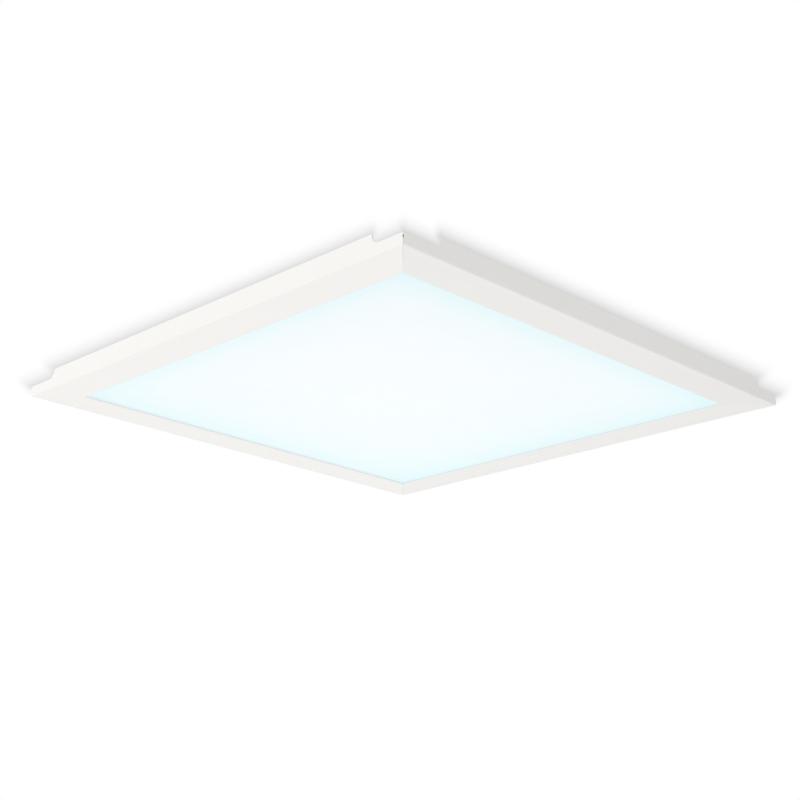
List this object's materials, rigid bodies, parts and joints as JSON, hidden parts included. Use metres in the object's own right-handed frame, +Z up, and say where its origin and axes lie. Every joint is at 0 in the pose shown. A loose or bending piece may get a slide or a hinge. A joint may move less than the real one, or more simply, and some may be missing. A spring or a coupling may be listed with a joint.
{
  "type": "ceiling panel light",
  "caption": "Square edge-lit ceiling panel light: opal sheet in a white mitred frame with a notched skirt, slim driver behind, held on ceiling rails by turn catches.",
  "frame": {"origin": "middle of the ceiling plane: the centre of the top face of the cross strap, which lies on the ceiling", "axes": "+Z up, into the ceiling, so the lit face looks along -Z; the four sides lie along X and Y; the terminal block is towards +X and the panel lead's entry towards -X"},
  "size_m": [0.595, 0.595, 0.0218],
  "materials": {
    "frame_paint": "white powder coat on extruded aluminium, satin",
    "cover_paint": "white coil-coated steel sheet",
    "zinc_steel": "zinc plated",
    "galvanised_steel": "galvanised sheet with a fine spangle",
    "opal_diffuser": "opal sheet, fine matt, lit from inside",
    "clear_acrylic": "clear acrylic light guide",
    "reflector_film": "white reflector film",
    "foam": "closed-cell foam sheet",
    "led_board": "white solder mask with light packages",
    "copper": "bare copper link",
    "driver_plastic": "white moulded plastic, fine texture",
    "circuit_board": "green solder mask",
    "ferrite": "dark ferrite core",
    "capacitor_sleeve": "shrink sleeve",
    "switch_black": "moulded plastic",
    "block_grey": "moulded plastic",
    "lever_orange": "moulded plastic",
    "lead_sheath": "soft sheath",
    "rubber": "moulded rubber",
    "catch_nylon": "natural moulded nylon"
  },
  "bodies": {
    "root": {"back_cover": "cover_paint", "backing_foam": "foam", "cable_sleeve": "rubber", "catch_post_ne": "zinc_steel", "catch_post_nw": "zinc_steel", "catch_post_se": "zinc_steel", "catch_post_sw": "zinc_steel", "corner_key_ne": "zinc_steel", "corner_key_nw": "zinc_steel", "corner_key_se": "zinc_steel", "corner_key_sw": "zinc_steel", "cross_strap": "galvanised_steel", "diffuser": "opal_diffuser", "driver_base": "driver_plastic", "driver_board": "circuit_board", "driver_capacitor": "capacitor_sleeve", "driver_lid": "driver_plastic", "driver_screw_east": "zinc_steel", "driver_screw_west": "zinc_steel", "driver_transformer": "ferrite", "frame_rail_east": "frame_paint", "frame_rail_north": "frame_paint", "frame_rail_south": "frame_paint", "frame_rail_west": "frame_paint", "frame_screw_east_left": "zinc_steel", "frame_screw_east_middle": "zinc_steel", "frame_screw_east_right": "zinc_steel", "frame_screw_north_left": "zinc_steel", "frame_screw_north_middle": "zinc_steel", "frame_screw_north_right": "zinc_steel", "frame_screw_south_left": "zinc_steel", "frame_screw_south_middle": "zinc_steel", "frame_screw_south_right": "zinc_steel", "frame_screw_west_left": "zinc_steel", "frame_screw_west_middle": "zinc_steel", "frame_screw_west_right": "zinc_steel", "lead_grommet": "rubber", "led_jumper_ne": "copper", "led_jumper_nw": "copper", "led_jumper_se": "copper", "led_strip_east": "led_board", "led_strip_north": "led_board", "led_strip_south": "led_board", "led_strip_west": "led_board", "light_guide": "clear_acrylic", "mounting_rail_east": "galvanised_steel", "mounting_rail_west": "galvanised_steel", "panel_lead": "lead_sheath", "reflector_sheet": "reflector_film", "supply_lead": "lead_sheath", "terminal_block": "block_grey"},
    "catch_sw": {"catch_sw": "catch_nylon"},
    "catch_se": {"catch_se": "catch_nylon"},
    "catch_ne": {"catch_ne": "catch_nylon"},
    "catch_nw": {"catch_nw": "catch_nylon"},
    "lever_live": {"terminal_lever_live": "lever_orange"},
    "lever_neutral": {"terminal_lever_neutral": "lever_orange"},
    "tone_slider": {"tone_switch": "switch_black"}
  },
  "joints": [
    {"name": "catch_sw_turn", "type": "hinge", "parent": "root", "child": "catch_sw", "pos_m": [-0.245, -0.245, -0.00515], "axis": [0, 0, 1], "range_deg": [0, 90]},
    {"name": "catch_se_turn", "type": "hinge", "parent": "root", "child": "catch_se", "pos_m": [0.245, -0.245, -0.00515], "axis": [0, 0, -1], "range_deg": [0, 90]},
    {"name": "catch_ne_turn", "type": "hinge", "parent": "root", "child": "catch_ne", "pos_m": [0.245, 0.245, -0.00515], "axis": [0, 0, 1], "range_deg": [0, 90]},
    {"name": "catch_nw_turn", "type": "hinge", "parent": "root", "child": "catch_nw", "pos_m": [-0.245, 0.245, -0.00515], "axis": [0, 0, -1], "range_deg": [0, 90]},
    {"name": "lever_live_lift", "type": "hinge", "parent": "root", "child": "lever_live", "pos_m": [0.146, 0.082, -0.0042], "axis": [-1, 0, 0], "range_deg": [0, 90]},
    {"name": "lever_neutral_lift", "type": "hinge", "parent": "root", "child": "lever_neutral", "pos_m": [0.154, 0.082, -0.0042], "axis": [-1, 0, 0], "range_deg": [0, 90]},
    {"name": "tone_slide", "type": "slide", "parent": "root", "child": "tone_slider", "axis": [1, 0, 0], "range_m": [0, 0.004]}
  ]
}
